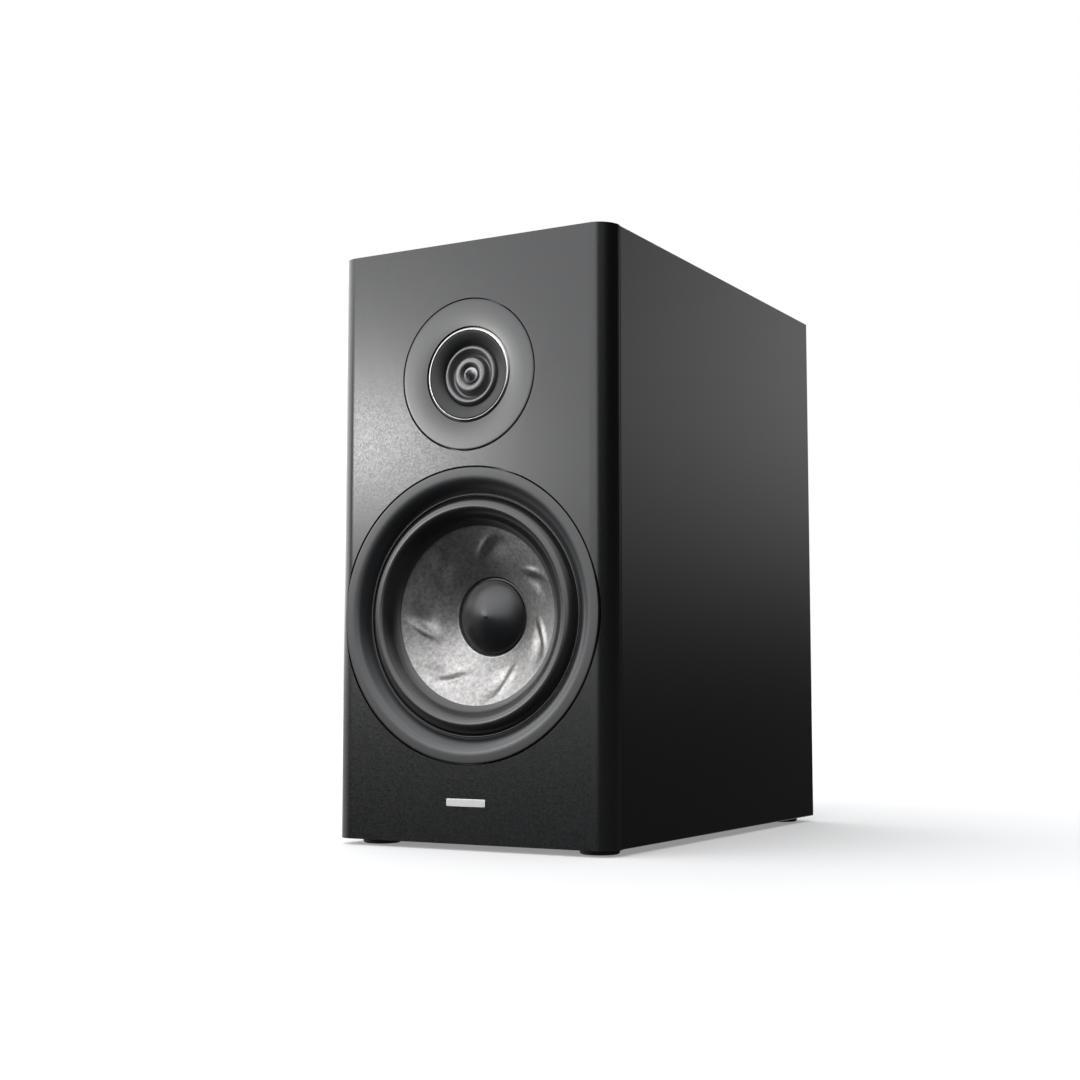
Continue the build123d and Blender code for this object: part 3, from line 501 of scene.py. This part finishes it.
def creaseLift(radius, angle):
    # how far the skin moves along the axis here, mm: each crease is a soft hollow with a crest beside it
    along = (radius - crease["inner"]) / (crease["outer"] - crease["inner"])
    if not 0 < along < 1:
        return 0
    lift = 0
    envelope = sin(pi * along) ** crease["taper"]
    for middle in crease["angles"]:
        ridge = radians(middle + crease["lean"] * (0.5 - along))
        away = ((angle - ridge + pi) % (2 * pi) - pi) * radius
        if abs(away) > crease["reach"]:
            continue
        below = away - crease["hollowAt"]
        hollow = crease["deep"] * exp(-(below / crease["steep" if below > 0 else "gentle"]) ** 2)
        crest = crease["high"] * exp(-((away - crease["crestAt"]) / crease["crestWide"]) ** 2)
        lift += envelope * (crest - hollow)
    return lift


front = []
top, low = Vector(cone["edge"]), Vector(cone["bead"][0])
for place in range(cone["rings"] + 1):
    front.append(tuple(top.lerp(low, place / cone["rings"])))
front += cone["bead"][1:] + [cone["neck"]]
work = turned(thickened(front, cone["wall"]), wooferZ, steps=cone["steps"])
for vert in work.verts:
    x, z = vert.co.x * 1000, vert.co.z * 1000 - wooferZ
    vert.co.y -= mm(creaseLift(hypot(x, z), atan2(z, x)))
addPiece("wooferCone", work, "micaCone", "woofer_moving_parts", ["woofer_cone"], 60)

# dust cap: nearly conical, with a small raised point
cap = {"face": [(24.2, 34.4), (24.15, 32.7), (23.6, 31.6), (20.5, 29.3), (15.0, 26.75), (9.0, 24.75),
                (4.0, 23.6), (1.8, 23.25), (0.8, 23.0), (0.0, 22.95)], "wall": 0.7}
line = curved(cap["face"], 5)
addPiece("wooferDustCap", turned(thickened(line, cap["wall"]), wooferZ, closed=False), "lacqueredCap",
         "woofer_moving_parts", ["woofer_dust_cap"])

# tweeter plate: flush at its rim, barely dished
plate = {"face": [(48.4, 0.0), (45.0, 0.02), (40.0, 0.1), (35.0, 0.26), (31.5, 0.44)],
         "rim": [(49.0, 0.5), (48.9, 0.12), (48.4, 0.0)]}
outline = curved(plate["rim"], 3)[:-1] + curved(plate["face"], 4) + [(31.2, 0.7), (31.15, 3.0), (49.0, 3.0)]
addPiece("tweeterPlate", turned(outline, tweeterZ), "smoothAbs", "cabinet", ["tweeter_faceplate"])

# silver ring between plate and waveguide
trim = {"outline": [(28.95, 1.6), (28.95, 0.52), (29.02, 0.42), (29.15, 0.38), (29.4, 0.42), (29.9, 0.62),
                    (30.4, 0.88), (30.8, 1.15), (30.85, 1.6)]}
addPiece("tweeterSilverRing", turned(trim["outline"], tweeterZ), "anodisedSilver", "cabinet",
         ["tweeter_trim_ring"])

# waveguide dish with a rolled lip at its throat
dish = {"face": [(28.4, 0.75), (28.0, 0.7), (26.0, 1.15), (23.4, 2.0), (21.3, 3.05), (20.4, 3.75),
                 (19.9, 4.4)],
        "rest": [(19.7, 5.0), (30.9, 5.0), (30.9, 1.6), (28.6, 1.6), (28.6, 1.0)]}
# the dish's material carries a painted shade: its colour is darker than the plate's
addPiece("tweeterDish", turned(curved(dish["face"], 5) + dish["rest"], tweeterZ), "mattAbs", "cabinet",
         ["tweeter_waveguide"])

# the ring diaphragm's two rolls meet at the coil
rolls = {"outer": [(21.8, 5.0), (20.0, 4.95), (19.4, 4.1), (18.6, 3.1), (17.6, 2.65), (16.6, 2.9),
                   (15.8, 3.6), (15.2, 5.0), (14.6, 6.3), (13.6, 6.8)],
         "inner": [(13.6, 6.8), (12.7, 6.3), (12.1, 5.0), (11.6, 3.6), (10.8, 2.7), (9.2, 2.35), (7.6, 2.55),
                   (6.6, 3.3), (5.8, 4.3), (5.2, 4.6), (2.6, 4.6)], "wall": 0.28}
work = turned(thickened(curved(rolls["outer"], 5), rolls["wall"]), tweeterZ)
outerRoll = addPiece("tweeterOuterRoll", work, "coatedFilm", None)
work = turned(thickened(curved(rolls["inner"], 5), rolls["wall"]), tweeterZ)
innerRoll = addPiece("tweeterInnerRoll", work, "coatedFilm", None)

# the tweeter's coil hangs from the trough between the rolls
tweeterCoil = [(13.35, 7.1), (13.6, 7.1), (13.6, 7.4), (13.8, 7.4), (13.8, 10.4), (13.35, 10.4)]
addPiece("tweeterCoil", turned(tweeterCoil, tweeterZ), "enamelCopper", "tweeter_moving_parts",
         ["tweeter_voice_coil"])

# phase plug: a sharp cone on a small foot
plug = {"face": [(0.0, -3.45), (0.5, -1.9), (1.3, 0.3), (2.4, 2.3), (3.7, 3.4), (4.9, 3.8)],
        "rest": [(5.2, 4.0), (5.2, 4.5), (2.5, 4.5), (2.5, 9.0), (0.0, 9.0)]}
work = turned(curved(plug["face"], 5) + plug["rest"], tweeterZ, steps=96, closed=False)
addPiece("tweeterPlug", work, "turnedPlug", "cabinet", ["tweeter_phase_plug"])
print("stage: drivers made")


def followsCoil(piece, moving, centreZ, stillRadius, fullRadius, node):
    # soft rings stay where they are at one radius and move fully with the coil at the other
    low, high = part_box(node)
    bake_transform(piece, "cabinet", moving, start=(0, high.y, mm(centreZ)), end=(0, low.y, mm(centreZ)))
    weights = piece.data.attributes["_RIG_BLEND"].data
    for vert in piece.data.vertices:
        radius = hypot(vert.co.x, vert.co.z - mm(centreZ)) * 1000
        part = min(max((radius - stillRadius) / (fullRadius - stillRadius), 0), 1)
        weights[vert.index].value = part * part * (3 - 2 * part)
    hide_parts(node)


followsCoil(wooferSurround, "woofer_moving_parts", wooferZ, 76.4, 62.2, "woofer_surround")
followsCoil(outerRoll, "tweeter_moving_parts", tweeterZ, 19.4, 14.3, "tweeter_outer_roll")
followsCoil(innerRoll, "tweeter_moving_parts", tweeterZ, 5.8, 12.7, "tweeter_inner_roll")

# spider: resin-set waves between the coil former and its landing
spider = {"seat": 46.15, "wave": 1.3, "waves": 9, "pitch": 2.4, "flatEnd": (44.6, 53.5), "wall": 0.5}
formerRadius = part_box("woofer_coil_former")[1].x * 1000
line = [(formerRadius + 0.2, spider["seat"]), (formerRadius + 1.2, spider["seat"])]
for wave in range(spider["waves"]):
    swing = spider["wave"] if wave % 2 else -spider["wave"]
    line.append((formerRadius + 1.2 + spider["pitch"] * (wave + 1), spider["seat"] + swing))
line += [(radius, spider["seat"]) for radius in spider["flatEnd"]]
work = turned(thickened(curved(line, 4), spider["wall"]), wooferZ)
wooferSpider = addPiece("wooferSpider", work, "phenolicCloth", None)
followsCoil(wooferSpider, "woofer_moving_parts", wooferZ, 44.4, formerRadius + 1.5, "woofer_spider")

# wadding pads: crowned away from the side panel, with their edges drawn in between the corners
pad = {"edgeThick": 0.35, "drawIn": 0.03, "cuts": 22, "fill": 0.35}
for node, side in (("damping_pad_left", -1), ("damping_pad_right", 1)):
    low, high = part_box(node)
    middle, half = (low + high) / 2, (high - low) / 2
    wall = high.x if side > 0 else low.x
    work = bmesh.new()
    bmesh.ops.create_cube(work, size=2)
    bmesh.ops.subdivide_edges(work, edges=work.edges[:], cuts=pad["cuts"], use_grid_fill=True)
    for vert in work.verts:
        across, up = vert.co.y, vert.co.z
        crown = pad["edgeThick"] + (1 - pad["edgeThick"]) * (1 - across ** 4) * (1 - up ** 4)
        depth = half.x * (1 - side * vert.co.x) * crown
        vert.co = (wall - side * depth, middle.y + half.y * across * (1 - pad["drawIn"] * (1 - up ** 2)),
                   middle.z + half.z * up * (1 - pad["drawIn"] * (1 - across ** 2)))
    bmesh.ops.recalc_face_normals(work, faces=work.faces[:])
    name = "dampingPadLeft" if side < 0 else "dampingPadRight"
    addPiece(name, work, "wadding", "cabinet", [node], 80)

# feet: a puck with rounded rims, on a stud that goes up into the cabinet
foot = {"outline": [(0, 0.0), (11.4, 0.0), (12.2, 0.5), (12.5, 1.2), (12.5, 2.6), (12.2, 3.0), (12.2, 4.0),
                    (4.0, 4.0), (4.0, 12.0), (0, 12.0)], "steps": 64}
for node in ("foot_front_left", "foot_front_right", "foot_rear_left", "foot_rear_right"):
    low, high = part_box(node)
    middle = (low + high) / 2
    work = bmesh.new()
    points = [work.verts.new((middle.x + mm(r), middle.y, mm(z))) for r, z in foot["outline"]]
    for place in range(len(points) - 1):
        work.edges.new((points[place], points[place + 1]))
    bmesh.ops.spin(work, geom=work.verts[:] + work.edges[:], cent=(middle.x, middle.y, 0), axis=(0, 0, 1),
                   dvec=(0, 0, 0), angle=2 * pi, steps=foot["steps"], use_merge=True, use_duplicate=False)
    bmesh.ops.remove_doubles(work, verts=work.verts[:], dist=1e-6)
    bmesh.ops.recalc_face_normals(work, faces=work.faces[:])
    name = "".join(part.capitalize() for part in node.split("_"))
    addPiece(name[0].lower() + name[1:], work, "footRubber", "cabinet", [node])

# the CAD nodes that keep their own shape
nodeFinish = {
    "satinFoil": ["left_side_panel", "right_side_panel", "top_panel", "bottom_panel", "rear_panel"],
    "bareFibreboard": ["window_brace"],
    "powderCoat": ["woofer_basket"],
    "gasketFoam": ["woofer_gasket"],
    "blackScrew": ["woofer_screws", "tweeter_screws", "terminal_plate_screws"],
    "amberFilm": ["woofer_coil_former"],
    "enamelCopper": ["woofer_voice_coil", "inductor_large", "inductor_small"],
    "zincPlate": ["woofer_top_plate", "woofer_yoke", "tweeter_top_plate", "tweeter_yoke", "post_nuts"],
    "ferrite": ["woofer_magnet", "tweeter_magnet"],
    "mouldedAbs": ["woofer_terminal_strip", "tweeter_mounting_flange", "tweeter_rear_chamber", "port_tube",
                   "port_flange", "terminal_plate"],
    "goldFlash": ["post_stud_left", "post_stud_right", "post_washer_left", "post_washer_right"],
    "capRed": ["post_cap_left"],
    "capBlack": ["post_cap_right"],
    "boardLaminate": ["crossover_board"],
    "nylon": ["crossover_standoffs"],
    "capacitorFilm": ["crossover_capacitors"],
    "cement": ["crossover_resistor"],
    "wireJacket": ["wiring_harness"],
}
for material, nodes in nodeFinish.items():
    for node in nodes:
        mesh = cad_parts[node].data
        mesh.materials.clear()
        mesh.materials.append(finish[material])
print("stage: CAD nodes finished")

# studio: a white floor, one strip lamp and the room round it
studio = {"floor": 14.0, "white": "#b4b4b4", "glow": 0.27}
work = bmesh.new()
bmesh.ops.create_grid(work, x_segments=1, y_segments=1, size=studio["floor"])
mesh = bpy.data.meshes.new("studioFloor")
work.to_mesh(mesh)
work.free()
floorFinish, tree, shader, place = startMaterial("paperSweep")
shader.inputs["Base Color"].default_value = shade(studio["white"])
shader.inputs["Roughness"].default_value = 1.0
shader.inputs["Specular IOR Level"].default_value = 0.0
shader.inputs["Emission Color"].default_value = (1, 1, 1, 1)
shader.inputs["Emission Strength"].default_value = studio["glow"]
mesh.materials.append(floorFinish)
floor = bpy.data.objects.new("studioFloor", mesh)
scene.collection.objects.link(floor)
floor.visible_glossy = False
floor.visible_diffuse = False

# the strip stands left of the front by azimuth degrees and lights the lower baffle
strip = {"azimuth": 39, "elevation": 11.4, "away": 3.0, "width": 0.62, "tall": 0.12, "watts": 12.5,
         "aimZ": 0.10}
lampData = bpy.data.lights.new("sideStrip", "AREA")
lampData.shape = "RECTANGLE"
lampData.size, lampData.size_y = strip["width"], strip["tall"]
lampData.energy = strip["watts"]
lamp = bpy.data.objects.new("sideStrip", lampData)
azimuth, elevation = radians(strip["azimuth"]), radians(strip["elevation"])
out = Vector((-sin(azimuth) * cos(elevation), -cos(azimuth) * cos(elevation), sin(elevation)))
lamp.location = Vector((0, mm(frontY), strip["aimZ"])) + out * strip["away"]
lamp.rotation_euler = (-out).to_track_quat("-Z", "Y").to_euler()
lamp.visible_camera = False
scene.collection.objects.link(lamp)

# the room round the speaker, as it shows in the gloss: each patch faces a way, and comes up over a span of
# facing and over a span of height
room = {
    "leftWall": {"faces": (-0.966, -0.259), "side": (-0.12, 0.1), "height": (0.0, 0.09), "bright": 2.8},
    "rightWall": {"faces": (0.174, 0.985), "side": (0.82, 0.995), "height": (0.0, 0.19), "bright": 0.8},
    "frontBox": {"faces": (-0.05, -0.999), "side": (0.1, 0.5), "height": (0.26, 0.55), "bright": 1.3},
    "rearFill": {"faces": (-0.866, 0.5), "side": (0.25, 0.75), "height": (-1.0, -0.95), "bright": 0.8},
    "floorGlow": {"faces": (0.996, -0.087), "side": (0.35, 0.6), "height": (0.1, -0.02), "bright": 0.1},
    "lowFront": {"faces": (-0.105, -0.995), "side": (0.92, 0.985), "height": (-0.08, 0.06), "bright": 0.45},
    "cameraSide": {"faces": (0.545, -0.839), "side": (0.85, 0.97), "height": (0.06, 0.3), "bright": 0.45},
    "ceiling": {"faces": (0.0, 0.0), "side": (-1.0, -0.9), "height": (0.6, 0.9), "bright": 1.5},
}
# the left wall has a dark doorway, and darkens above; least is what stays of its light there
wallGap = {"faces": (-0.839, -0.545), "side": (0.972, 0.99), "top": (0.5, 0.85), "least": 0.1}
roomTint = {"colour": "#fcfdff", "dim": 0.03}
world = bpy.data.worlds.new("studio")
scene.world = world
world.use_nodes = True
tree = world.node_tree
tree.nodes.clear()
way = addNode(tree, "ShaderNodeTexCoord").outputs["Generated"]
upward = addNode(tree, "ShaderNodeSeparateXYZ", links={0: way}).outputs["Z"]
total = None
for name, patch in room.items():
    faced = addNode(tree, "ShaderNodeVectorMath", {"operation": "DOT_PRODUCT"}, {1: (*patch["faces"], 0)},
                    {0: way})
    # each ramp: what it reads, the span it goes over, and its values at the two ends; they multiply up
    ramps = [(faced.outputs["Value"], patch["side"], 0.0, patch["bright"]), (upward, patch["height"], 0.0, 1.0)]
    if name == "leftWall":
        gap = addNode(tree, "ShaderNodeVectorMath", {"operation": "DOT_PRODUCT"}, {1: (*wallGap["faces"], 0)},
                      {0: way})
        ramps += [(gap.outputs["Value"], wallGap["side"], 1.0, wallGap["least"]),
                  (upward, wallGap["top"], 1.0, wallGap["least"])]
    lit = None
    for source, span, start, end in ramps:
        step = addNode(tree, "ShaderNodeMapRange", {"interpolation_type": "SMOOTHSTEP"},
                       {1: span[0], 2: span[1], 3: start, 4: end}, {0: source})
        if lit:
            step = addNode(tree, "ShaderNodeMath", {"operation": "MULTIPLY"},
                           links={0: lit.outputs[0], 1: step.outputs[0]})
        lit = step
    if total:
        lit = addNode(tree, "ShaderNodeMath", {"operation": "ADD"},
                      links={0: lit.outputs[0], 1: total.outputs[0]})
    total = lit
strength = addNode(tree, "ShaderNodeMath", {"operation": "ADD"}, {1: roomTint["dim"]}, {0: total.outputs[0]})
seen = addNode(tree, "ShaderNodeBackground", values={"Color": (1, 1, 1, 1), "Strength": 1.0})
around = addNode(tree, "ShaderNodeBackground", values={"Color": shade(roomTint["colour"])},
                 links={"Strength": strength.outputs[0]})
rays = addNode(tree, "ShaderNodeLightPath")
both = addNode(tree, "ShaderNodeMixShader", links={0: rays.outputs["Is Camera Ray"], 1: around.outputs[0],
                                                    2: seen.outputs[0]})
addNode(tree, "ShaderNodeOutputWorld", links={"Surface": both.outputs[0]})
scene.view_settings.view_transform = "Standard"
print("stage: studio set")
